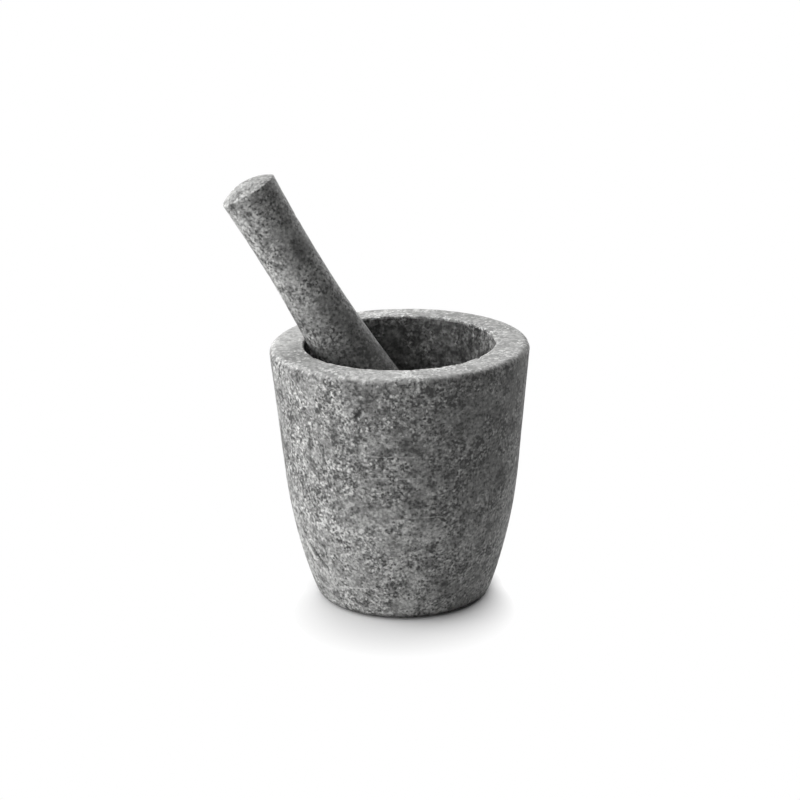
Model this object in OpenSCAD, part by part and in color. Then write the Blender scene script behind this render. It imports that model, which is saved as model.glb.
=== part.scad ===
// Granite mortar with its loose pestle. Millimetres, Z up. The origin lies on the table under the middle
// of the bowl, and -Y is the front. The pestle stands in the hollow and leans on the rim towards -X.

/* [Bowl] */
// Widest diameter of the bowl, just under the top of the rim
rim_d = 130; // [122:1:140]
// Height of the bowl from the table to the top of the rim
bowl_h = 132; // [124:1:142]
// Thickness of the stone at the rim, from the widest line to the mouth
wall_t = 17; // [14:0.5:20]
// Thickness of the stone under the lowest point of the hollow
floor_t = 40; // [34:1:46]
// Outward lean of the straight upper wall, in degrees
wall_lean = 5.4; // [4:0.2:7]
// Height at which the straight wall passes into the curved lower wall
belly_h = 66; // [56:1:76]
// Diameter at which the curved wall would meet the table if the foot were sharp
foot_d = 87.5; // [82:0.5:92]
// Rounding of the foot
foot_r = 5.5; // [3:0.5:7]
// Rounding of the rim's outer edge
rim_r = 3.4; // [2:0.2:5]
// Rounding of the rim's inner edge
mouth_r = 1.2; // [0.8:0.1:2.5]
// Outward lean of the hollow's wall, in degrees
hollow_lean = 4; // [2:0.5:6]

/* [Pestle] */
// Length from the top of the cap to the end of the grinding head
pestle_l = 191.5; // [180:0.5:205]
// Diameter of the round grinding head
head_d = 48; // [42:0.5:50]
// Diameter of the handle at its narrowest
waist_d = 27; // [24:0.5:30]
// Distance of the narrowest place from the top of the cap
waist_drop = 44; // [36:1:52]
// Rise of the domed cap above its edge
cap_rise = 4.6; // [2:0.2:6]
// Rounding of the cap's edge
cap_edge_r = 0.8; // [0.4:0.1:1.5]

/* [Seat] */
// Gap left between the pestle and the stone it rests on, at the floor and at the rim
seat_gap = 0.3; // [0.1:0.05:0.6]
// How far the centre of the grinding head lies to the right of the bowl's axis
seat_right = 5.6; // [0:0.1:8]
// How far the centre of the grinding head lies behind the bowl's axis
seat_back = 7.3; // [0:0.1:9]

/* [Hidden] */
$fn = 120;
up = 90;
// Farthest that a curve may lie from the chords drawn for it
chord_error = 0.005;

// Points of an arc from one bearing to another, close enough together to keep to the chord error
function arc(c, r, from, to) =
    let (steps = ceil(abs(to - from) * PI / 180 * sqrt(r / (8 * chord_error))))
    [for (i = [0:steps]) let (a = from + (to - from) * i / steps) c + r * [cos(a), sin(a)]];

// Bearing of one point seen from another, in degrees
function bearing(from, to) = atan2(to.y - from.y, to.x - from.x);

// Where two circles cross, on the left of the line from the first centre to the second
function crossing(c1, r1, c2, r2) =
    let (v = c2 - c1)
    let (d = norm(v))
    let (along = (d * d + r1 * r1 - r2 * r2) / (2 * d))
    c1 + (along * v + sqrt(r1 * r1 - along * along) * [-v.y, v.x]) / d;

// Bowl, outside: rounded rim, straight leaning wall, curved lower wall, rounded foot
rim_c = [rim_d / 2 - rim_r, bowl_h - rim_r];
wall_out = [cos(wall_lean), -sin(wall_lean)];
wall_top = rim_c + rim_r * wall_out;
belly_top = [wall_top.x - (wall_top.y - belly_h) * tan(wall_lean), belly_h];
belly_span = belly_top - [foot_d / 2, 0];
belly_r = belly_span * belly_span / (2 * belly_span * wall_out);
belly_c = belly_top - belly_r * wall_out;
foot_c = [belly_c.x + sqrt(pow(belly_r - foot_r, 2) - pow(belly_c.y - foot_r, 2)), foot_r];
foot_bearing = bearing(belly_c, foot_c);

// Bowl, inside: rounded mouth, straight wall, ball-shaped floor that the wall runs into smoothly
mouth_c = [rim_d / 2 - wall_t + mouth_r, bowl_h - mouth_r];
hollow_out = [cos(hollow_lean), -sin(hollow_lean)];
hollow_top = mouth_c - mouth_r * hollow_out;
hollow_r = (hollow_top - [0, floor_t]) * hollow_out / (1 - sin(hollow_lean));
hollow_c = [0, floor_t + hollow_r];

// Pestle, measured from the centre of its head: head ball, one hollow arc up the handle, domed cap
head_r = head_d / 2;
waist_r = waist_d / 2;
top_s = pestle_l - head_r;
waist_s = top_s - waist_drop;
side_r = (waist_s * waist_s + waist_r * waist_r - head_r * head_r) / (2 * (head_r - waist_r));
side_c = [waist_r + side_r, waist_s];
cap_s = top_s - cap_rise;
cap_r = side_c.x - sqrt(side_r * side_r - pow(cap_s - waist_s, 2));
dome_r = (cap_r * cap_r + cap_rise * cap_rise) / (2 * cap_rise);
dome_c = [0, top_s - dome_r];
edge_c = crossing(dome_c, dome_r - cap_edge_r, side_c, side_r + cap_edge_r);

// Seat: the head rests on the floor, and the handle leans until it reaches the rounded mouth
seat_r = hollow_r - head_r - seat_gap;
seat_rise = sqrt(seat_r * seat_r - seat_right * seat_right - seat_back * seat_back);
seat = [seat_right, seat_back, hollow_c.y - seat_rise];

// Gap between the handle at a lean and one place on the rounded mouth
function gap_at(lean, turn) =
    let (p = [mouth_c.x * cos(turn), mouth_c.x * sin(turn), mouth_c.y] - seat)
    let (s = p * [-sin(lean), 0, cos(lean)])
    side_r - norm([sqrt(p * p - s * s), s] - side_c) - mouth_r;

// Least gap between the handle at a lean and the left half of the mouth
function mouth_gap(lean) = min([for (turn = [90:0.5:270]) gap_at(lean, turn)]);

// The lean at which that gap is the seat's, found by halving a range of leans
function seat_lean(low, high, rounds) =
    let (middle = (low + high) / 2)
    rounds == 0 ? middle
    : mouth_gap(middle) > seat_gap ? seat_lean(middle, high, rounds - 1)
    : seat_lean(low, middle, rounds - 1);

lean = seat_lean(5, 55, 26);

// The heavy bowl, one piece of stone
module mortar()
    color("#8f8f8d")
        rotate_extrude()
            polygon(concat(
                [[0, floor_t], [0, 0]],
                arc(foot_c, foot_r, -up, foot_bearing),
                arc(belly_c, belly_r, foot_bearing, -wall_lean),
                arc(rim_c, rim_r, -wall_lean, up),
                arc(mouth_c, mouth_r, up, 2 * up - hollow_lean),
                arc(hollow_c, hollow_r, -hollow_lean, -up)));

// The loose grinding stick, one piece of stone, at rest in the bowl
module pestle()
    color("#7c7c7b")
        translate(seat)
            rotate([0, -lean, 0])
                rotate_extrude()
                    polygon(concat(
                        arc([0, 0], head_r, -up, bearing([0, 0], side_c)),
                        arc(side_c, side_r, bearing(side_c, [0, 0]) + 4 * up, bearing(side_c, edge_c)),
                        arc(edge_c, cap_edge_r, bearing(edge_c, side_c), bearing(dome_c, edge_c)),
                        arc(dome_c, dome_r, bearing(dome_c, edge_c), up)));

mortar();
pestle();
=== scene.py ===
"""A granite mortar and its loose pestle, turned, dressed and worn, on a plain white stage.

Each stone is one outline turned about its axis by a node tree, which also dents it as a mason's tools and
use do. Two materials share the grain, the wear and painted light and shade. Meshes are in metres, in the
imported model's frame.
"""

import math
from typing import NamedTuple

import bpy
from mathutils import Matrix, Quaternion, Vector


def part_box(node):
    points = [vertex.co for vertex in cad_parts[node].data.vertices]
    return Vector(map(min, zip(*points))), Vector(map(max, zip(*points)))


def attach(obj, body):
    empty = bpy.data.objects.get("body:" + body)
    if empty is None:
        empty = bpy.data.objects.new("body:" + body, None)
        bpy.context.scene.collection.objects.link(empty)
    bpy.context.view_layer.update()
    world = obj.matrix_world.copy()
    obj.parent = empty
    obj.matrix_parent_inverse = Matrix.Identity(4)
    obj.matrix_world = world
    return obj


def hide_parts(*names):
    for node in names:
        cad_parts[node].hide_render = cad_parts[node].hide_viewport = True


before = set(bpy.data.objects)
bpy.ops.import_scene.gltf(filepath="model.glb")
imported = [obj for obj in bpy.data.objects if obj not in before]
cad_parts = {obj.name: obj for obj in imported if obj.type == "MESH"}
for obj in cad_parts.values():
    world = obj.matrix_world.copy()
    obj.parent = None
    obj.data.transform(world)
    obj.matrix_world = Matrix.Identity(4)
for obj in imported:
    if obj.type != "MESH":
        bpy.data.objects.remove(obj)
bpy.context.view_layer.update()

bl_info = {
    "name": "Granite mortar and pestle",
    "version": (1, 0, 0),
    "blender": (4, 5, 0),
    "location": "View3D > Sidebar > Granite",
    "description": "Turns a granite mortar and its pestle and sets them on a white stage",
    "category": "Add Mesh",
}

MM = 0.001
QUARTER = math.pi / 2
BOWL_LOW, BOWL_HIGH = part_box("mortar")
PESTLE_LOW, PESTLE_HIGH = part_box("pestle")
# Name of a UV map for baking the stones' materials
BAKE_MAP = "OFBake"

# Radius at which the mortar's wall is unrolled to place marks on it
WALL_RADIUS = 60 * MM
# Where each stone lies in the noise that dents it
BOWL_SEED = (0.31, 0.17, 0.05)
PESTLE_SEED = (0.72, 0.44, 0.23)
# How deep the pestle's bumps, pits and nicks are, as a share of the mortar's
PESTLE_SHARE = 0.6
# Distance of the lamps from the bowl and half the width of the floor, in metres
LAMP_DISTANCE = 1.2
FLOOR_HALF = 4.0


class Mark(NamedTuple):
    """A line on the mortar from one place to another, in millimetres.

    On the wall a place is a turn in degrees and a height, and on the rim a turn and a radius. Breaks is how
    much of the line is broken up, and strength how far it takes the colour of its kind.
    """

    start: tuple
    end: tuple
    width: float
    breaks: float
    strength: float


class Dent(NamedTuple):
    """A mark cut into the wall: full depth up to inner from its line, and none past outer, in millimetres."""

    mark: Mark
    inner: float
    outer: float


class Tone(NamedTuple):
    """How pale a stone is: low up to a bottom height in millimetres, and high from a top height. This change
    with height is painted light and shade.
    """

    bottom: float
    top: float
    low: float
    high: float


class Lamp(NamedTuple):
    """A softbox: its direction from the bowl in degrees, and the width of its face in metres."""

    name: str
    azimuth: float
    elevation: float
    width: float


# Each dent is cut into the wall and is also painted dark in the material, as painted shadow in it.
DENTS = {
    "gouge": Dent(Mark((-148.4, 34.6), (-137.3, 24.5), width=2.2, breaks=0.6, strength=0.8),
                  inner=0.3, outer=1.7),
    "chip": Dent(Mark((-110.1, 112.1), (-108.0, 114.6), width=1.1, breaks=0.0, strength=0.9),
                 inner=0.6, outer=1.5),
}
PALE_MARKS = {
    "gouge_lip": Mark((-153.4, 34.9), (-147.2, 28.2), width=2.4, breaks=0.5, strength=0.75),
    # The round mark is a small knob drawn as a faint pale spot, a painted highlight where its face catches
    # the lamps.
    "round_knob_painted_light": Mark((-113.6, 114.3), (-112.8, 114.7), width=3.4, breaks=0.8, strength=0.35),
    "low_scratch": Mark((-130.4, 15.9), (-110.8, 18.4), width=0.6, breaks=0.6, strength=0.8),
    "upper_turning_line": Mark((-102, 92.2), (-82, 91.8), width=0.4, breaks=1.0, strength=0.6),
    "middle_turning_line": Mark((-104, 80.9), (-84, 80.7), width=0.4, breaks=1.0, strength=0.6),
    "lower_turning_line": Mark((-86, 59.6), (-72, 59.4), width=0.4, breaks=1.0, strength=0.6),
}
RIM_CRACK = Mark((5.3, 51), (0.3, 62.2), width=0.5, breaks=0.5, strength=0.75)

# Painted light: the mortar's lower wall is paler than its upper wall, as if lit from the floor.
BOWL_TONE_WITH_PAINTED_BOUNCE = Tone(bottom=45, top=85, low=0.53, high=0.37)
# Painted shade: the pestle is darker on its lower part, down in the bowl.
PESTLE_TONE_WITH_PAINTED_SHADE = Tone(bottom=115, top=160, low=0.22, high=0.5)

LAMPS = (
    Lamp("left", azimuth=-75, elevation=15, width=0.7),
    Lamp("front", azimuth=-45, elevation=15, width=0.7),
    Lamp("high", azimuth=-90, elevation=42, width=0.7),
    Lamp("back", azimuth=168, elevation=30, width=1.8),
)


# Properties that a user would change

def length_prop(name, default, description):
    return bpy.props.FloatProperty(
        name=name, description=description, default=default, unit="LENGTH", precision=5)


def angle_prop(name, degrees, description):
    return bpy.props.FloatProperty(
        name=name, description=description, default=math.radians(degrees), subtype="ANGLE")


def level_prop(name, default, description):
    return bpy.props.FloatProperty(
        name=name, description=description, default=default, subtype="FACTOR")


def grey_prop(name, level, description):
    """A grey with a trace less blue, as the stone has."""
    return bpy.props.FloatVectorProperty(
        name=name, description=description, default=(level, level, 0.985 * level, 1), size=4,
        min=0, max=1, subtype="COLOR")


class BowlSizes(bpy.types.PropertyGroup):
    """Sizes of the mortar's outline."""

    rim_width: length_prop("Rim width", BOWL_HIGH.x - BOWL_LOW.x, "Width over the rim")
    height: length_prop("Height", BOWL_HIGH.z, "Height from the table to the rim")
    wall: length_prop("Wall", 17 * MM, "Thickness of the wall at the rim")
    floor: length_prop("Floor", 40 * MM, "Thickness of stone under the hollow")
    wall_lean: angle_prop("Wall lean", 5.4, "Outward lean of the straight upper wall")
    belly_height: length_prop("Belly height", 66 * MM, "Height where the wall starts to curve in")
    foot_width: length_prop("Foot width", 87.5 * MM, "Width of the wall's curve at the table")
    foot_round: length_prop("Foot rounding", 5.5 * MM, "Radius between the wall and the base")
    rim_round: length_prop("Rim rounding", 3.4 * MM, "Radius of the rim's outer edge")
    mouth_round: length_prop("Mouth rounding", 1.2 * MM, "Radius of the rim's inner edge")
    hollow_lean: angle_prop("Hollow lean", 4, "Outward lean of the hollow's wall")
    columns: bpy.props.IntProperty(
        name="Columns", description="Faces round the mortar", default=400, min=12)


class PestleSizes(bpy.types.PropertyGroup):
    """Sizes of the pestle's outline."""

    length: length_prop("Length", 191.5 * MM, "Length over the head and the cap")
    head_width: length_prop("Head width", 48 * MM, "Width of the round grinding head")
    waist_width: length_prop("Waist width", 27 * MM, "Width of the handle where it is narrowest")
    waist_drop: length_prop("Waist drop", 44 * MM, "How far the waist is below the cap")
    cap_rise: length_prop("Cap rise", 4.6 * MM, "Height of the domed cap")
    cap_round: length_prop("Cap rounding", 0.8 * MM, "Radius of the cap's edge")
    columns: bpy.props.IntProperty(
        name="Columns", description="Faces round the pestle", default=240, min=12)


class StoneFinish(bpy.types.PropertyGroup):
    """How the two stones are dressed, and their greys."""

    unevenness: length_prop("Unevenness", 0.5 * MM, "Height of the broad waves left by hand grinding")
    dressing: length_prop("Dressing", 0.3 * MM, "Height of the small bumps left by the dressing hammer")
    proud: length_prop("Proud", 0.1 * MM, "How far a bump may stand out of the outline")
    pit_depth: length_prop("Pits", 0.45 * MM, "Depth of the pits where crystals broke out")
    nick_depth: length_prop("Nicks", 0.75 * MM, "Depth of the nicks along the edges")
    mark_depth: length_prop("Marks", 0.9 * MM, "Depth of the gouge and the chip in the mortar's wall")
    crystal: length_prop("Crystal size", 1.3 * MM, "Width of one crystal of the granite")
    bowl_dark: grey_prop("Mortar, dark crystals", 0.07, "Darkest grey of the mortar's granite")
    bowl_middle: grey_prop("Mortar, main grey", 0.3, "Main grey of the mortar's granite")
    bowl_pale: grey_prop("Mortar, pale crystals", 0.75, "Palest grey of the mortar's granite")
    bowl_ground: grey_prop("Mortar, ground rim", 0.75, "Grey of the rim where it is ground flat")
    pestle_dark: grey_prop("Pestle, dark crystals", 0.06, "Darkest grey of the pestle's granite")
    pestle_middle: grey_prop("Pestle, main grey", 0.27, "Main grey of the pestle's granite")
    pestle_pale: grey_prop("Pestle, pale crystals", 0.62, "Palest grey of the pestle's granite")
    pestle_ground: grey_prop("Pestle, ground cap", 0.36, "Grey of the cap where it is ground")
    painted_shade_grey: grey_prop("Painted shade", 0.02, "Grey of the painted shade in the gouge, the chip and at the foot")
    foot_shade_height: length_prop("Foot shade height", 5 * MM, "Height at which the painted shade at the foot ends")
    hollow_painted_shade: level_prop("Hollow, painted shade", 0.52, "Grey of the hollow, darkened as painted shade, as a share of the wall's")
    bowl_roughness: level_prop("Mortar, roughness", 0.7, "How dull the mortar's stone is")
    pestle_roughness: level_prop("Pestle, roughness", 0.65, "How dull the pestle's handled stone is")
    ground_roughness: level_prop("Ground, roughness", 0.88, "How dull the ground rim and cap are")
    sheen: level_prop("Sheen", 0.4, "How strongly the stone mirrors")
    bump: level_prop("Bump", 0.12, "How clearly light shows the height of the grain")
    bump_height: length_prop("Bump height", 0.3 * MM, "Height of the grain for the bump")


class StageSettings(bpy.types.PropertyGroup):
    """The camera, the lamps and the floor."""

    lens: bpy.props.FloatProperty(
        name="Lens", description="Focal length on a 36 mm sensor", default=99.2, unit="CAMERA")
    elevation: angle_prop("Elevation", 17.78, "How far the camera looks down")
    roll: angle_prop("Roll", -1.08, "Turn of the camera about its view")
    distance: length_prop("Distance", 1112.76 * MM, "From the camera to the point it looks at")
    target_height: length_prop("Target height", 101.36 * MM, "Height of the point it looks at")
    target_side: length_prop("Target side", -0.25 * MM, "How far right of the bowl's axis that point is")
    left_level: level_prop("Left softbox", 0.49, "How bright a white card facing the left softbox is")
    front_level: level_prop("Front softbox", 0.24, "How bright a white card facing the front softbox is")
    high_level: level_prop("High softbox", 0.47, "How bright a white card facing the high softbox is")
    back_level: level_prop("Back softbox", 1.36, "How bright a white card facing the back softbox is")
    fill_level: level_prop("Fill", 0.01, "Level of the even light from all round")
    floor_bounce: level_prop("Floor bounce", 0.58, "Share of the light that the floor throws back")
    shadow_start: length_prop("Shadow start", 43 * MM, "How far from the axis the shadow starts to fade")
    shadow_front: length_prop("Shadow in front", 46 * MM, "How far the shadow fades out in front")
    shadow_side: length_prop("Shadow beside", 8 * MM, "How far the shadow fades out at the sides")


# Outlines, as points (radius, height) with the marks that each point carries

def bearing(start, end):
    return math.atan2(end.y - start.y, end.x - start.x)


def toward(angle):
    return Vector((math.cos(angle), math.sin(angle)))


def crossing(first, first_radius, second, second_radius):
    """Where two circles meet, on the left of the line from the first middle to the second."""
    apart = second - first
    gap = apart.length
    along = (first_radius ** 2 - second_radius ** 2 + gap ** 2) / (2 * gap)
    aside = math.sqrt(first_radius ** 2 - along ** 2)
    ahead = apart / gap
    return first + along * ahead + aside * Vector((-ahead.y, ahead.x))


def arc(middle, radius, start, end, step):
    """Points of an arc, about one step apart, from one bearing to another."""
    count = max(2, math.ceil(abs(end - start) * radius / step))
    return [middle + radius * toward(start + (end - start) * i / count) for i in range(count + 1)]


def line(start, end, step):
    """Points of a line, about one step apart."""
    count = max(1, math.ceil((end - start).length / step))
    return [start.lerp(end, i / count) for i in range(count + 1)]


class Outline:
    """Points of an outline in order, each with how flat, ground, hollow or sharp the stone is there."""

    MARKS = ("base", "ground", "hollow", "edge")
    SAME_POINT = 1e-7

    def __init__(self):
        self.points = []
        self.marks = []

    def add(self, points, base=0, ground=(0, 0), hollow=0, edge=(0, 0)):
        """Adds a stretch; ground and edge run evenly from their first value to their second."""
        for i, point in enumerate(points):
            if self.points and (point - self.points[-1]).length < self.SAME_POINT:
                continue
            share = i / (len(points) - 1)
            self.points.append(point)
            self.marks.append((base, ground[0] + (ground[1] - ground[0]) * share, hollow,
                               edge[0] + (edge[1] - edge[0]) * share))

    def mesh(self, name):
        """The outline as a mesh of points in the XZ plane, with its marks and its length so far."""
        mesh = bpy.data.meshes.new(name)
        mesh.from_pydata([(max(p.x, 0), 0, p.y) for p in self.points], [], [])
        for i, mark in enumerate(self.MARKS):
            values = mesh.attributes.new(mark, "FLOAT", "POINT").data
            values.foreach_set("value", [float(row[i]) for row in self.marks])
        run = [0.0]
        for before, after in zip(self.points, self.points[1:]):
            run.append(run[-1] + (after - before).length)
        mesh.attributes.new("along", "FLOAT", "POINT").data.foreach_set("value", [s / run[-1] for s in run])
        return mesh


class BowlShape:
    """The circles and corners that make the mortar's outline, outside and then inside."""

    def __init__(self, sizes):
        self.rim = Vector((sizes.rim_width / 2 - sizes.rim_round, sizes.height - sizes.rim_round))
        self.rim_top = self.rim + Vector((0, sizes.rim_round))
        wall_out = toward(-sizes.wall_lean)
        self.wall_top = self.rim + sizes.rim_round * wall_out
        drop = self.wall_top.y - sizes.belly_height
        self.belly_top = Vector((self.wall_top.x - drop * math.tan(sizes.wall_lean), sizes.belly_height))
        span = self.belly_top - Vector((sizes.foot_width / 2, 0))
        self.belly_radius = span.dot(span) / (2 * span.dot(wall_out))
        self.belly = self.belly_top - self.belly_radius * wall_out
        inset = self.belly_radius - sizes.foot_round
        across = math.sqrt(inset ** 2 - (self.belly.y - sizes.foot_round) ** 2)
        self.foot = Vector((self.belly.x + across, sizes.foot_round))

        self.mouth = Vector((sizes.rim_width / 2 - sizes.wall + sizes.mouth_round,
                             sizes.height - sizes.mouth_round))
        self.mouth_top = self.mouth + Vector((0, sizes.mouth_round))
        hollow_out = toward(-sizes.hollow_lean)
        self.hollow_top = self.mouth - sizes.mouth_round * hollow_out
        floor = Vector((0, sizes.floor))
        self.hollow_radius = (self.hollow_top - floor).dot(hollow_out) / (1 - math.sin(sizes.hollow_lean))
        self.hollow = floor + Vector((0, self.hollow_radius))
        self.hollow_end = self.hollow + self.hollow_radius * hollow_out


def bowl_outline(sizes):
    """From the middle of the base, out and up the wall, over the rim and down to the hollow's floor."""
    base_step, foot_step, wall_step = 5 * MM, 1 * MM, 1 * MM
    rim_step, mouth_step, hollow_step = 0.75 * MM, 0.5 * MM, 1.8 * MM
    nick_reach, ground_reach, wall_ground = 2.5 * MM, 4 * MM, 0.15
    shape = BowlShape(sizes)
    foot_end = bearing(shape.belly, shape.foot)
    ground_start = shape.wall_top + ground_reach * (shape.belly_top - shape.wall_top).normalized()
    nick_start = shape.mouth_top + Vector((nick_reach, 0))
    nick_end = shape.hollow_top + nick_reach * (shape.hollow_end - shape.hollow_top).normalized()
    outline = Outline()
    outline.add(line(Vector((0, 0)), Vector((shape.foot.x, 0)), base_step), base=1)
    outline.add(arc(shape.foot, sizes.foot_round, -QUARTER, foot_end, foot_step), edge=(0, 0.5))
    outline.add(arc(shape.belly, shape.belly_radius, foot_end, -sizes.wall_lean, wall_step))
    outline.add(line(shape.belly_top, ground_start, wall_step))
    outline.add(line(ground_start, shape.wall_top, wall_step), ground=(0, wall_ground))
    outline.add(arc(shape.rim, sizes.rim_round, -sizes.wall_lean, QUARTER, rim_step),
                ground=(wall_ground, 1), edge=(0.35, 0.35))
    outline.add(line(shape.rim_top, nick_start, wall_step), ground=(1, 1))
    outline.add(line(nick_start, shape.mouth_top, mouth_step), ground=(1, 1), edge=(0, 1))
    outline.add(arc(shape.mouth, sizes.mouth_round, QUARTER, 2 * QUARTER - sizes.hollow_lean, mouth_step),
                ground=(1, 0), edge=(1, 1))
    outline.add(line(shape.hollow_top, nick_end, mouth_step), hollow=1, edge=(1, 0))
    outline.add(line(nick_end, shape.hollow_end, hollow_step), hollow=1)
    outline.add(arc(shape.hollow, shape.hollow_radius, -sizes.hollow_lean, -QUARTER, hollow_step), hollow=1)
    return outline


class PestleShape:
    """The circles that make the pestle's outline, with the head's middle as the origin."""

    def __init__(self, sizes):
        self.cap_round = sizes.cap_round
        self.head_radius = sizes.head_width / 2
        waist = sizes.waist_width / 2
        top = sizes.length - self.head_radius
        waist_height = top - sizes.waist_drop
        self.side_radius = ((waist_height ** 2 + waist ** 2 - self.head_radius ** 2)
                            / (2 * (self.head_radius - waist)))
        self.side = Vector((waist + self.side_radius, waist_height))
        cap_height = top - sizes.cap_rise - waist_height
        cap_radius = self.side.x - math.sqrt(self.side_radius ** 2 - cap_height ** 2)
        self.dome_radius = (cap_radius ** 2 + sizes.cap_rise ** 2) / (2 * sizes.cap_rise)
        self.dome = Vector((0, top - self.dome_radius))
        self.edge = crossing(self.dome, self.dome_radius - self.cap_round,
                             self.side, self.side_radius + self.cap_round)

    def seat(self):
        """Where the head's middle rests and how far the pestle leans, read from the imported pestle's box."""
        place = Vector((PESTLE_HIGH.x - self.head_radius, (PESTLE_LOW.y + PESTLE_HIGH.y) / 2,
                        PESTLE_LOW.z + self.head_radius))
        reach = place.x - PESTLE_LOW.x - self.cap_round
        return place, math.asin(reach / self.edge.length) - math.atan2(self.edge.x, self.edge.y)


def pestle_outline(shape):
    """From the tip of the head, up the waisted handle and over the cap to its middle."""
    head_step, side_step, edge_step = 1.2 * MM, 0.7 * MM, 0.25 * MM
    full_turn = 4 * QUARTER
    head = Vector((0, 0))
    side_start = bearing(shape.side, head) % full_turn
    side_end = bearing(shape.side, shape.edge) % full_turn
    edge_start = bearing(shape.edge, shape.side)
    edge_end = bearing(shape.dome, shape.edge)
    outline = Outline()
    outline.add(arc(head, shape.head_radius, -QUARTER, bearing(head, shape.side), head_step), hollow=0.5)
    outline.add(arc(shape.side, shape.side_radius, side_start, side_end, side_step))
    outline.add(arc(shape.edge, shape.cap_round, edge_start, edge_end, edge_step),
                ground=(0, 0.6), edge=(0.8, 0.8))
    outline.add(arc(shape.dome, shape.dome_radius, edge_end, QUARTER, side_step), ground=(0.6, 0.9))
    return outline


# Node trees

class NodeBench:
    """Adds nodes to a tree. An input is given as a socket to link from or as a plain value."""

    def __init__(self, tree):
        self.tree = tree

    def feed(self, socket, value):
        if isinstance(value, bpy.types.NodeSocket):
            self.tree.links.new(value, socket)
        else:
            socket.default_value = value

    def add(self, kind, inputs=None, **settings):
        node = self.tree.nodes.new(kind)
        for name, value in settings.items():
            setattr(node, name, value)
        for name, value in (inputs or {}).items():
            self.feed(node.inputs[name], value)
        return node

    def fed_in_order(self, kind, values, **settings):
        """A node whose inputs are fed in their own order, for kinds that repeat a socket's name."""
        node = self.add(kind, **settings)
        for socket, value in zip(node.inputs, values):
            self.feed(socket, value)
        return node

    def math(self, operation, *values):
        return self.fed_in_order("ShaderNodeMath", values, operation=operation).outputs["Value"]

    def vector(self, operation, *values, result="Vector"):
        return self.fed_in_order("ShaderNodeVectorMath", values, operation=operation).outputs[result]

    def chained(self, operation, first, *others):
        """One operation over all the values, from the first to the last."""
        for other in others:
            first = self.math(operation, first, other)
        return first

    def plus(self, *values):
        return self.chained("ADD", *values)

    def times(self, *values):
        return self.chained("MULTIPLY", *values)

    def largest(self, *values):
        return self.chained("MAXIMUM", *values)

    def less(self, first, second):
        return self.math("SUBTRACT", first, second)

    def swing(self, value, height):
        """A value from 0 to 1 made a swing of this height about 0."""
        return self.times(self.less(value, 0.5), height)

    def scaled(self, vector, factor):
        node = self.add("ShaderNodeVectorMath", {"Vector": vector, "Scale": factor}, operation="SCALE")
        return node.outputs["Vector"]

    def axes(self, vector):
        return self.add("ShaderNodeSeparateXYZ", {"Vector": vector}).outputs

    def joined(self, x=0.0, y=0.0, z=0.0):
        return self.add("ShaderNodeCombineXYZ", {"X": x, "Y": y, "Z": z}).outputs["Vector"]

    def object_place(self):
        return self.add("ShaderNodeTexCoord").outputs["Object"]

    def ramp(self, value, low, high, low_to=0.0, high_to=1.0, smooth=True):
        """value brought from the range low to high into another range, and held there."""
        kind = "SMOOTHSTEP" if smooth else "LINEAR"
        node = self.add("ShaderNodeMapRange", {"Value": value, "From Min": low, "From Max": high,
                                               "To Min": low_to, "To Max": high_to}, interpolation_type=kind)
        return node.outputs["Result"]

    def noise(self, place, width, detail=2.0, roughness=0.5):
        """Even noise from 0 to 1 whose bumps are about this wide."""
        node = self.add("ShaderNodeTexNoise", {"Vector": place, "Scale": 1 / width, "Detail": detail,
                                               "Roughness": roughness})
        return node.outputs

    def cells(self, place, width):
        """Round cells about this wide: the distance from each one's middle and a random colour each."""
        return self.add("ShaderNodeTexVoronoi", {"Vector": place, "Scale": 1 / width}).outputs

    def mixed(self, factor, first, second):
        """A colour between two."""
        node = self.add("ShaderNodeMix", data_type="RGBA")
        for socket in node.inputs:
            given = {"Factor_Float": factor, "A_Color": first, "B_Color": second}.get(socket.identifier)
            if given is not None:
                self.feed(socket, given)
        return next(s for s in node.outputs if s.identifier == "Result_Color")

    def mixed_shader(self, factor, first, second):
        """A shader between two."""
        return self.fed_in_order("ShaderNodeMixShader", (factor, first, second)).outputs["Shader"]

    def shaded(self, colour, level):
        """A colour made darker or lighter by a level."""
        return self.vector("MULTIPLY", colour, self.joined(level, level, level))

    def off_line(self, place, start, end):
        """Distance of a place from the line between two others."""
        run = self.vector("SUBTRACT", end, start)
        aside = self.vector("SUBTRACT", place, start)
        share = self.math("DIVIDE", self.vector("DOT_PRODUCT", aside, run, result="Value"),
                          self.vector("DOT_PRODUCT", run, run, result="Value"))
        share = self.math("MINIMUM", self.largest(share, 0.0), 1.0)
        return self.vector("DISTANCE", aside, self.scaled(run, share), result="Value")

    def unrolled(self, place):
        """A place on the mortar's wall, unrolled: how far round and how high."""
        axes = self.axes(place)
        way_round = self.times(self.math("ARCTAN2", axes["Y"], axes["X"]), WALL_RADIUS)
        return self.joined(way_round, axes["Z"])


def new_tree(name, kind, inputs, outputs):
    """A node group with named sockets, given as pairs of name and kind, and the sockets of its ends."""
    tree = bpy.data.node_groups.new(name, kind)
    for direction, sockets in (("INPUT", inputs), ("OUTPUT", outputs)):
        for socket, socket_kind in sockets:
            tree.interface.new_socket(name=socket, in_out=direction, socket_type="NodeSocket" + socket_kind)
    given = tree.nodes.new("NodeGroupInput")
    result = tree.nodes.new("NodeGroupOutput")
    return tree, given.outputs, result.inputs


def emptied(owner):
    """A bench on the node tree of a new material or world, with no nodes on it yet."""
    owner.use_nodes = True
    owner.node_tree.nodes.clear()
    return NodeBench(owner.node_tree)


def wall_place(turn, height):
    """A place on the unrolled wall, from degrees and millimetres."""
    return (math.radians(turn) * WALL_RADIUS, height * MM, 0)


def rim_place(turn, radius):
    """A place on top of the rim, from degrees and millimetres."""
    return (*(radius * MM * toward(math.radians(turn))), BOWL_HIGH.z)


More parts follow.
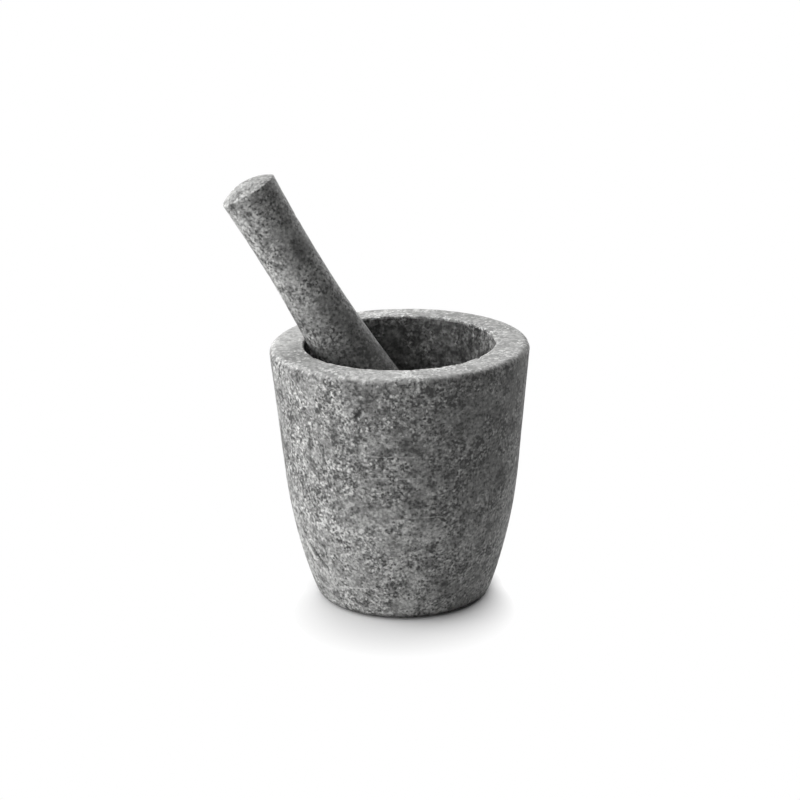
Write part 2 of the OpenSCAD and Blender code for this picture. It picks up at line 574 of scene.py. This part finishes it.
class TurningTree:
    """The node tree that turns an outline about Z, dents the stone, and seats it."""

    NAME = "turned_stone"
    SAME_POINT = 1e-6

    def __init__(self):
        self.tree, self.given, result = new_tree(self.NAME, "GeometryNodeTree", [
            ("Outline", "Geometry"), ("Columns", "Int"), ("Unevenness", "Float"), ("Dressing", "Float"),
            ("Proud", "Float"), ("Pit Depth", "Float"), ("Nick Depth", "Float"), ("Mark Depth", "Float"),
            ("Seed", "Vector"), ("Seat", "Vector"), ("Lean", "Float"), ("Material", "Material"),
        ], [("Stone", "Geometry")])
        self.bench = NodeBench(self.tree)
        self.place = self.bench.add("GeometryNodeInputPosition").outputs["Position"]
        self.stone = None
        self.turn()
        self.dent()
        self.seat()
        self.bench.feed(result["Stone"], self.stone)

    def step(self, kind, inputs=None, **settings):
        """Sends the stone through one more node."""
        node = self.bench.add(kind, {"Geometry": self.stone, **(inputs or {})}, **settings)
        self.stone = node.outputs["Geometry"]

    def store(self, name, value, kind="FLOAT", domain="POINT"):
        self.step("GeometryNodeStoreNamedAttribute", {"Name": name, "Value": value},
                  data_type=kind, domain=domain)

    def named(self, name):
        node = self.bench.add("GeometryNodeInputNamedAttribute", {"Name": name}, data_type="FLOAT")
        return node.outputs["Attribute"]

    def turn(self):
        """A grid with a row for each point of the outline, rolled up and closed, with the outline's marks."""
        bench, given = self.bench, self.given
        size = bench.add("GeometryNodeAttributeDomainSize", {"Geometry": given["Outline"]})
        rows = size.outputs["Point Count"]
        grid = bench.add("GeometryNodeMeshGrid", {
            "Size X": 1.0, "Size Y": 1.0, "Vertices X": bench.plus(given["Columns"], 1), "Vertices Y": rows})
        index = bench.add("GeometryNodeInputIndex").outputs["Index"]
        row = bench.math("MODULO", index, rows)
        column = bench.math("FLOOR", bench.math("DIVIDE", index, rows))
        angle = bench.times(column, bench.math("DIVIDE", 4 * QUARTER, given["Columns"]))

        def from_outline(value, kind="FLOAT"):
            node = bench.add("GeometryNodeSampleIndex", {
                "Geometry": given["Outline"], "Value": value, "Index": row}, data_type=kind)
            return node.outputs["Value"]

        self.stone = grid.outputs["Mesh"]
        for mark in Outline.MARKS:
            self.store(mark, from_outline(self.named(mark)))
        across = bench.axes(grid.outputs["UV Map"])["X"]
        self.store(BAKE_MAP, bench.joined(across, from_outline(self.named("along"))), "FLOAT2", "CORNER")
        point = bench.axes(from_outline(self.place, "FLOAT_VECTOR"))
        turned = bench.joined(bench.times(point["X"], bench.math("COSINE", angle)),
                              bench.times(point["X"], bench.math("SINE", angle)), point["Z"])
        self.step("GeometryNodeSetPosition", {"Position": turned})
        self.step("GeometryNodeMergeByDistance", {"Distance": self.SAME_POINT})

    def cut(self, dent):
        """A mask for one dent in the wall."""
        ends = (wall_place(*dent.mark.start), wall_place(*dent.mark.end))
        off = self.bench.off_line(self.bench.unrolled(self.place), *ends)
        return self.bench.ramp(off, dent.outer * MM, dent.inner * MM)

    def dent(self):
        """Sinks waves, hammer bumps, pits, nicks and the named dents into the stone, but not its base."""
        wave_width, bump_width, pit_width, nick_width = 45 * MM, 5 * MM, 8 * MM, 4.5 * MM
        stray_width, stray_reach = 4 * MM, 3 * MM
        pit_rim, pit_floor = 0.32, 0.08
        ground_calm, hollow_calm = 0.75, 0.2
        bench, given = self.bench, self.given
        spot = bench.vector("ADD", self.place, given["Seed"])
        calm = bench.largest(bench.times(self.named("ground"), ground_calm),
                             bench.times(self.named("hollow"), hollow_calm))
        rough = bench.less(1.0, calm)
        outside = bench.less(1.0, self.named("hollow"))
        off_base = bench.less(1.0, self.named("base"))

        waves = bench.swing(bench.noise(spot, wave_width, 2)["Fac"], given["Unevenness"])
        bumps = bench.swing(bench.noise(spot, bump_width, 3)["Fac"], given["Dressing"])
        stray = bench.scaled(bench.noise(spot, stray_width)["Color"], stray_reach)
        pit = bench.cells(bench.vector("ADD", spot, stray), pit_width)
        chosen = bench.ramp(bench.axes(pit["Color"])["X"], 0.5, 0.9)
        pits = bench.times(bench.ramp(pit["Distance"], pit_rim, pit_floor), chosen)
        chipped = bench.ramp(bench.noise(spot, nick_width, 2)["Fac"], 0.5, 0.75)
        nicks = bench.times(chipped, self.named("edge"))
        cuts = bench.times(bench.largest(*(self.cut(dent) for dent in DENTS.values())), outside)

        dressed = bench.plus(bumps, bench.times(pits, given["Pit Depth"]))
        depth = bench.plus(waves, bench.times(dressed, rough), bench.times(nicks, given["Nick Depth"]),
                           bench.times(cuts, given["Mark Depth"]))
        depth = bench.largest(depth, bench.times(given["Proud"], -1.0))
        self.store("depth", bench.times(depth, off_base))
        shown_cuts = bench.times(cuts, bench.math("GREATER_THAN", given["Mark Depth"], 0.0))
        self.store("pit", bench.largest(bench.times(pits, rough), nicks, shown_cuts))
        normal = bench.add("GeometryNodeInputNormal").outputs["Normal"]
        inward = bench.scaled(normal, bench.times(self.named("depth"), -1.0))
        self.step("GeometryNodeSetPosition", {"Offset": inward})

    def seat(self):
        """Leans the stone towards -X, puts it in its place and gives it its material."""
        tilt = self.bench.joined(y=self.bench.times(self.given["Lean"], -1.0))
        self.step("GeometryNodeTransform", {"Translation": self.given["Seat"], "Rotation": tilt})
        self.step("GeometryNodeSetShadeSmooth")
        self.step("GeometryNodeRealizeInstances")
        self.step("GeometryNodeSetMaterial", {"Material": self.given["Material"]})


def linked(name, data):
    """A new object, put into the scene."""
    made = bpy.data.objects.new(name, data)
    bpy.context.scene.collection.objects.link(made)
    return made


def dressing(finish, share):
    """How deep a stone is dressed; share is for its bumps, pits and nicks."""
    return {
        "Unevenness": finish.unevenness, "Proud": finish.proud, "Dressing": share * finish.dressing,
        "Pit Depth": share * finish.pit_depth, "Nick Depth": share * finish.nick_depth,
    }


def turned_stone(name, outline, inputs):
    """A piece made by the turning tree, as a plain mesh with no modifier left on it."""
    tree = bpy.data.node_groups.get(TurningTree.NAME) or TurningTree().tree
    piece = linked(name, outline.mesh(name + "_outline"))
    turning = piece.modifiers.new("turning", "NODES")
    turning.node_group = tree
    for item in tree.interface.items_tree:
        if item.name in inputs:
            turning[item.identifier] = inputs[item.name]
    graph = bpy.context.evaluated_depsgraph_get()
    mesh = bpy.data.meshes.new_from_object(piece.evaluated_get(graph), preserve_all_data_layers=True,
                                           depsgraph=graph)
    if not mesh.polygons:
        raise RuntimeError(name + " came out empty")
    mesh.name = name
    piece.modifiers.remove(turning)
    piece.data = mesh
    return piece


# Materials

def granite_grain_group():
    """Crystals of three greys, with specks, glints, blotches, clouds and calm zones, and their height.

    Widths are counted in crystals. The tone runs from 0, dark, over 0.5, the main grey, to 1, pale, and
    the swings, drops and lifts are steps of it.
    """
    crystal_width, fine_width, blotch_width, cloud_width = 1.0, 1.2, 4.5, 12.0
    calm_width, gather_width, calm_shift = 14.0, 16.0, (31.0, 17.0, 5.0)
    warp_width, warp_reach = 2.0, 0.8
    crystal_edge, crystal_core = 0.75, 0.3
    fine_swing, crystal_swing, cloud_swing = 1.75, 0.55, 0.7
    least_dark, more_dark, dark_blur = 0.08, 0.16, 0.04
    glint_from, glint_full = 0.92, 0.97
    speck_drop, glint_lift, blotch_drop, clear_lift = 0.45, 0.45, 0.25, 0.08
    calm_contrast, full_contrast = 0.6, 1.1
    tree, given, result = new_tree("granite_grain", "ShaderNodeTree", [
        ("Dark", "Color"), ("Main", "Color"), ("Pale", "Color"), ("Crystal Size", "Float"),
        ("Balance", "Float"),
    ], [("Color", "Color"), ("Height", "Float")])
    bench = NodeBench(tree)
    spot = bench.scaled(bench.object_place(), bench.math("DIVIDE", 1.0, given["Crystal Size"]))
    warp = bench.scaled(bench.noise(spot, warp_width, 1)["Color"], warp_reach)
    crystals = bench.cells(bench.vector("ADD", spot, warp), crystal_width)
    pick = bench.axes(crystals["Color"])
    body = bench.ramp(crystals["Distance"], crystal_edge, crystal_core)
    gathered = bench.ramp(bench.noise(spot, gather_width, 2)["Fac"], 0.4, 0.62)
    dark_share = bench.plus(least_dark, bench.times(gathered, more_dark))
    specks = bench.times(body, bench.ramp(bench.less(pick["X"], dark_share), dark_blur, -dark_blur))
    glints = bench.times(body, bench.ramp(pick["X"], glint_from, glint_full))
    fine = bench.swing(bench.noise(spot, fine_width, 2, roughness=0.6)["Fac"], fine_swing)
    grain = bench.plus(fine, bench.swing(pick["Y"], crystal_swing),
                       bench.times(specks, -speck_drop), bench.times(glints, glint_lift))
    zones = bench.noise(bench.vector("ADD", spot, calm_shift), calm_width, 1)["Fac"]
    contrast = bench.ramp(zones, 0.4, 0.6, calm_contrast, full_contrast)
    blotches = bench.ramp(bench.noise(spot, blotch_width, 2)["Fac"], 0.5, 0.66, clear_lift, -blotch_drop)
    clouds = bench.swing(bench.noise(spot, cloud_width, 2)["Fac"], cloud_swing)
    tone = bench.plus(bench.times(grain, contrast), bench.plus(blotches, clouds), given["Balance"])
    colour = bench.mixed(bench.ramp(tone, 0.0, 0.5, smooth=False), given["Dark"], given["Main"])
    colour = bench.mixed(bench.ramp(tone, 0.5, 1.0, smooth=False), colour, given["Pale"])
    bench.feed(result["Color"], colour)
    bench.feed(result["Height"], tone)
    return tree


def ground_faces_and_painted_light_group():
    """Pales the ground faces, paints a highlight along the mouth's edge, and paints shade into pits, nicks
    and dents and into the pecked hollow.
    """
    # The pit level darkens pits, nicks and cut dents, as painted shade in them.
    ground_gain, mouth_painted_highlight, pit_painted_shade = 1.6, 1.5, 0.7
    ground_from, ground_full, ground_share = 0.3, 0.8, 0.35
    # The mouth's edge is paled from this edge mark on, as a painted highlight along it.
    mouth_sharpness = 0.8
    stray_width, stray_swing = 5 * MM, 0.8
    peck_width, peck_dark, peck_pale = 4 * MM, 0.58, 1.55
    tree, given, result = new_tree("ground_faces_and_painted_light", "ShaderNodeTree", [
        ("Color", "Color"), ("Ground Color", "Color"), ("Ground", "Float"), ("Hollow", "Float"),
        ("Pit", "Float"), ("Edge", "Float"), ("Hollow Painted Shade", "Float"),
    ], [("Color", "Color")])
    bench = NodeBench(tree)
    place = bench.object_place()
    stray = bench.swing(bench.noise(place, stray_width, 3)["Fac"], stray_swing)
    ground = bench.ramp(bench.plus(given["Ground"], stray), ground_from, ground_full)
    pecked = bench.ramp(bench.noise(place, peck_width, 3)["Fac"], 0.36, 0.64, peck_dark, peck_pale)
    # The hollow is darkened as painted shade, with a pecked mottling over it.
    hollow_painted_shade = bench.times(given["Hollow Painted Shade"], pecked)
    level = bench.times(bench.ramp(ground, 0, 1, 1.0, ground_gain),
                        bench.ramp(given["Hollow"], 0, 1, 1.0, hollow_painted_shade),
                        bench.ramp(given["Edge"], mouth_sharpness, 1, 1.0, mouth_painted_highlight),
                        bench.ramp(given["Pit"], 0, 1, 1.0, pit_painted_shade))
    colour = bench.shaded(given["Color"], level)
    colour = bench.mixed(bench.times(ground, ground_share), colour, given["Ground Color"])
    bench.feed(result["Color"], colour)
    return tree


def scratch_group():
    """A mask along a line between two places, this wide, and more or less broken along its way."""
    gap_width, core = 3 * MM, 0.3
    tree, given, result = new_tree("scratch", "ShaderNodeTree", [
        ("Place", "Vector"), ("Start", "Vector"), ("End", "Vector"), ("Width", "Float"), ("Breaks", "Float"),
    ], [("Mask", "Float")])
    bench = NodeBench(tree)
    off = bench.math("DIVIDE", bench.off_line(given["Place"], given["Start"], given["End"]), given["Width"])
    gaps = bench.ramp(bench.noise(given["Place"], gap_width, 2)["Fac"], 0.6, 0.35)
    unbroken = bench.less(1.0, bench.times(gaps, given["Breaks"]))
    bench.feed(result["Mask"], bench.times(bench.ramp(off, 1.0, core), unbroken))
    return tree


SHARED_GROUPS = {
    "granite_grain": granite_grain_group,
    "ground_faces_and_painted_light": ground_faces_and_painted_light_group,
    "scratch": scratch_group,
}


class GraniteMaterial:
    """Granite with its grain, wear and painted light and shade, for one stone, built up mark by mark."""

    def __init__(self, name, finish, greys, tone, roughness):
        self.material = bpy.data.materials.new(name)
        self.finish = finish
        self.bench = emptied(self.material)
        self.place = self.bench.object_place()
        self.height = self.bench.axes(self.place)["Z"]
        dark, main, pale, ground_grey = greys
        ground = self.attribute("ground")
        grain = self.placed("granite_grain", {
            "Dark": dark, "Main": main, "Pale": pale, "Crystal Size": finish.crystal,
            "Balance": self.bench.ramp(self.height, tone.bottom * MM, tone.top * MM, tone.low, tone.high)})
        surface_and_painted_light = self.placed("ground_faces_and_painted_light", {
            "Color": grain["Color"], "Ground Color": ground_grey, "Ground": ground,
            "Hollow": self.attribute("hollow"), "Pit": self.attribute("pit"), "Edge": self.attribute("edge"),
            "Hollow Painted Shade": finish.hollow_painted_shade})
        self.colour, self.relief = surface_and_painted_light["Color"], grain["Height"]
        self.roughness = self.bench.ramp(ground, 0, 1, roughness, finish.ground_roughness)

    def placed(self, name, inputs):
        """Places a shared group, which is built the first time."""
        tree = bpy.data.node_groups.get(name) or SHARED_GROUPS[name]()
        return self.bench.add("ShaderNodeGroup", inputs, node_tree=tree).outputs

    def attribute(self, name):
        return self.bench.add("ShaderNodeAttribute", attribute_name=name).outputs["Fac"]

    def tint(self, mask, colour):
        """Brings another colour over the stone where a mask says."""
        self.colour = self.bench.mixed(mask, self.colour, colour)

    def scratch(self, place, located, mark, colour):
        """Draws a mark on the stone in another colour; located turns its ends into places."""
        mask = self.placed("scratch", {
            "Place": place, "Start": located(*mark.start), "End": located(*mark.end),
            "Width": mark.width * MM, "Breaks": mark.breaks})["Mask"]
        self.tint(self.bench.times(mask, mark.strength), colour)

    def finished(self):
        """The material, with its shader put on."""
        bump = self.bench.add("ShaderNodeBump", {
            "Strength": self.finish.bump, "Distance": self.finish.bump_height, "Height": self.relief})
        stone = self.bench.add("ShaderNodeBsdfPrincipled", {
            "Base Color": self.colour, "Roughness": self.roughness,
            "Specular IOR Level": self.finish.sheen, "Normal": bump.outputs["Normal"]})
        self.bench.add("ShaderNodeOutputMaterial", {"Surface": stone.outputs["BSDF"]})
        return self.material


def mortar_granite(finish):
    """The mortar's granite, with the bruises, scratches and rim crack of one in use, painted shadow in its
    gouge and chip, a painted highlight on a small knob, and painted contact shade at the foot.
    """
    foot_shade_core, foot_shade_share = 0.5 * MM, 0.85
    greys = (finish.bowl_dark, finish.bowl_middle, finish.bowl_pale, finish.bowl_ground)
    granite = GraniteMaterial("mortar_granite", finish, greys, BOWL_TONE_WITH_PAINTED_BOUNCE, finish.bowl_roughness)
    wall = granite.bench.unrolled(granite.place)
    for mark in PALE_MARKS.values():
        granite.scratch(wall, wall_place, mark, finish.bowl_pale)
    # The gouge and chip are tinted dark as painted shadow inside the cuts.
    for dent in DENTS.values():
        granite.scratch(wall, wall_place, dent.mark, finish.painted_shade_grey)
    granite.scratch(granite.place, rim_place, RIM_CRACK, finish.bowl_dark)
    # Painted contact shade: the foot darkens towards the table, where the bowl meets the floor.
    low = granite.bench.ramp(granite.height, finish.foot_shade_height, foot_shade_core, high_to=foot_shade_share)
    granite.tint(low, finish.painted_shade_grey)
    return granite.finished()


def pestle_granite(finish):
    """The pestle's granite, smoother from the hand, with painted shade on its lower part down in the bowl."""
    greys = (finish.pestle_dark, finish.pestle_middle, finish.pestle_pale, finish.pestle_ground)
    return GraniteMaterial("pestle_granite", finish, greys, PESTLE_TONE_WITH_PAINTED_SHADE, finish.pestle_roughness).finished()


# Stage

def grey(level):
    return (level, level, level, 1)


def seen_directly(bench):
    """1 for rays that show the stage itself, straight or in a gloss, and 0 for light on its way."""
    path = bench.add("ShaderNodeLightPath").outputs
    return bench.largest(path["Is Camera Ray"], path["Is Glossy Ray"], path["Is Transmission Ray"])


def white_floor_material(stage):
    """White where it is seen, but for the foot's shadow, and a quieter card where it lights the stone."""
    shadow_card, narrowing, softness = 0.9, 1.5, 0.85
    material = bpy.data.materials.new("white_floor")
    bench = emptied(material)
    place = bench.object_place()
    away = bench.vector("LENGTH", place, result="Value")
    ahead = bench.times(bench.axes(bench.vector("NORMALIZE", place))["Y"], -1.0)
    ahead = bench.math("POWER", bench.largest(ahead, 0.0), narrowing)
    reach = bench.ramp(ahead, 0, 1, stage.shadow_side, stage.shadow_front, smooth=False)
    share = bench.math("DIVIDE", bench.less(away, stage.shadow_start), reach)
    fade = bench.math("POWER", bench.ramp(share, 0, 1, smooth=False), softness)
    card = bench.add("ShaderNodeBsdfDiffuse", {"Color": grey(shadow_card)}).outputs["BSDF"]
    glow = bench.add("ShaderNodeEmission", {"Color": grey(1)}).outputs["Emission"]
    quiet = bench.add("ShaderNodeBsdfDiffuse", {"Color": grey(stage.floor_bounce)}).outputs["BSDF"]
    shown = bench.mixed_shader(seen_directly(bench), quiet, bench.mixed_shader(fade, card, glow))
    bench.add("ShaderNodeOutputMaterial", {"Surface": shown})
    return material


def white_floor(stage):
    """A wide square floor at the bowl's foot."""
    corners = [(-FLOOR_HALF, -FLOOR_HALF, 0), (FLOOR_HALF, -FLOOR_HALF, 0),
               (FLOOR_HALF, FLOOR_HALF, 0), (-FLOOR_HALF, FLOOR_HALF, 0)]
    mesh = bpy.data.meshes.new("floor")
    mesh.from_pydata(corners, [], [(0, 1, 2, 3)])
    mesh.materials.append(white_floor_material(stage))
    return linked("floor", mesh)


def white_world(fill):
    """White where it is seen, and an even fill where it lights the stone."""
    world = bpy.data.worlds.new("white_room")
    bench = emptied(world)
    strength = bench.ramp(seen_directly(bench), 0, 1, fill, 1.0, smooth=False)
    sky = bench.add("ShaderNodeBackground", {"Color": grey(1), "Strength": strength})
    bench.add("ShaderNodeOutputWorld", {"Surface": sky.outputs["Background"]})
    return world


def aimed(thing, ahead, roll=0.0):
    """Turns a lamp or a camera to face ahead."""
    thing.rotation_mode = "QUATERNION"
    thing.rotation_quaternion = ahead.to_track_quat("-Z", "Y") @ Quaternion((0, 0, 1), roll)


def softbox(lamp, level):
    """A square lamp that faces the bowl; level is how bright it makes a white card that faces it."""
    light = bpy.data.lights.new(lamp.name + "_softbox", "AREA")
    light.shape = "SQUARE"
    light.size = lamp.width
    light.energy = level * math.pi ** 2 * LAMP_DISTANCE ** 2
    azimuth, elevation = math.radians(lamp.azimuth), math.radians(lamp.elevation)
    away = Vector((math.sin(azimuth) * math.cos(elevation), -math.cos(azimuth) * math.cos(elevation),
                   math.sin(elevation)))
    box = linked(light.name, light)
    box.location = Vector((0, 0, BOWL_HIGH.z / 2)) + LAMP_DISTANCE * away
    box.visible_camera = False
    aimed(box, -away)


def photo_camera(stage):
    """A camera that looks down at the bowl as the photo does."""
    camera = linked("camera", bpy.data.cameras.new("camera"))
    camera.data.lens = stage.lens
    ahead = Vector((0, math.cos(stage.elevation), -math.sin(stage.elevation)))
    camera.location = Vector((stage.target_side, 0, stage.target_height)) - stage.distance * ahead
    aimed(camera, ahead, stage.roll)
    return camera


# Operators

class GRANITE_OT_set_stage(bpy.types.Operator):
    """Set up the white floor, the softboxes and the camera"""

    bl_idname = "granite.set_stage"
    bl_label = "Set stage"

    def execute(self, context):
        scene = context.scene
        stage = scene.granite_stage
        scene.view_settings.view_transform = "Standard"
        floor = white_floor(stage)
        scene.world = white_world(stage.fill_level)
        for lamp in LAMPS:
            softbox(lamp, getattr(stage, lamp.name + "_level"))
        scene.camera = photo_camera(stage)
        return {"FINISHED"}


class GRANITE_OT_turn_bowl(bpy.types.Operator):
    """Turn the mortar from its outline"""

    bl_idname = "granite.turn_bowl"
    bl_label = "Turn mortar"

    def execute(self, context):
        sizes, finish = context.scene.granite_bowl, context.scene.granite_finish
        bowl = turned_stone("mortar_stone", bowl_outline(sizes), {
            **dressing(finish, share=1.0), "Columns": sizes.columns, "Mark Depth": finish.mark_depth,
            "Seed": BOWL_SEED, "Seat": (0.0, 0.0, 0.0), "Lean": 0.0, "Material": mortar_granite(finish)})
        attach(bowl, "mortar")
        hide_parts("mortar")
        return {"FINISHED"}


class GRANITE_OT_turn_pestle(bpy.types.Operator):
    """Turn the pestle from its outline and lean it on the rim"""

    bl_idname = "granite.turn_pestle"
    bl_label = "Turn pestle"

    def execute(self, context):
        sizes, finish = context.scene.granite_pestle, context.scene.granite_finish
        shape = PestleShape(sizes)
        seat, lean = shape.seat()
        pestle = turned_stone("pestle_stone", pestle_outline(shape), {
            **dressing(finish, PESTLE_SHARE), "Columns": sizes.columns, "Mark Depth": 0.0,
            "Seed": PESTLE_SEED, "Seat": seat, "Lean": lean, "Material": pestle_granite(finish)})
        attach(pestle, "pestle")
        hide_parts("pestle")
        return {"FINISHED"}


SETTINGS = {
    "granite_stage": StageSettings,
    "granite_bowl": BowlSizes,
    "granite_pestle": PestleSizes,
    "granite_finish": StoneFinish,
}
OPERATORS = (GRANITE_OT_set_stage, GRANITE_OT_turn_bowl, GRANITE_OT_turn_pestle)


class GRANITE_PT_tools(bpy.types.Panel):
    """The mortar and pestle's tools in the sidebar"""

    bl_idname = "GRANITE_PT_tools"
    bl_label = "Granite mortar and pestle"
    bl_space_type = "VIEW_3D"
    bl_region_type = "UI"
    bl_category = "Granite"

    def draw(self, context):
        for operator in OPERATORS:
            self.layout.operator(operator.bl_idname)
        for name, group in SETTINGS.items():
            box = self.layout.box()
            for key in group.__annotations__:
                box.prop(getattr(context.scene, name), key)


CLASSES = (*SETTINGS.values(), *OPERATORS, GRANITE_PT_tools)


def register():
    for cls in CLASSES:
        bpy.utils.register_class(cls)
    for name, group in SETTINGS.items():
        setattr(bpy.types.Scene, name, bpy.props.PointerProperty(type=group))


def unregister():
    for name in SETTINGS:
        delattr(bpy.types.Scene, name)
    for cls in reversed(CLASSES):
        bpy.utils.unregister_class(cls)


def main():
    register()
    bpy.ops.granite.set_stage()
    bpy.ops.granite.turn_bowl()
    bpy.ops.granite.turn_pestle()
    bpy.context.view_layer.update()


if __name__ == "__main__":
    main()
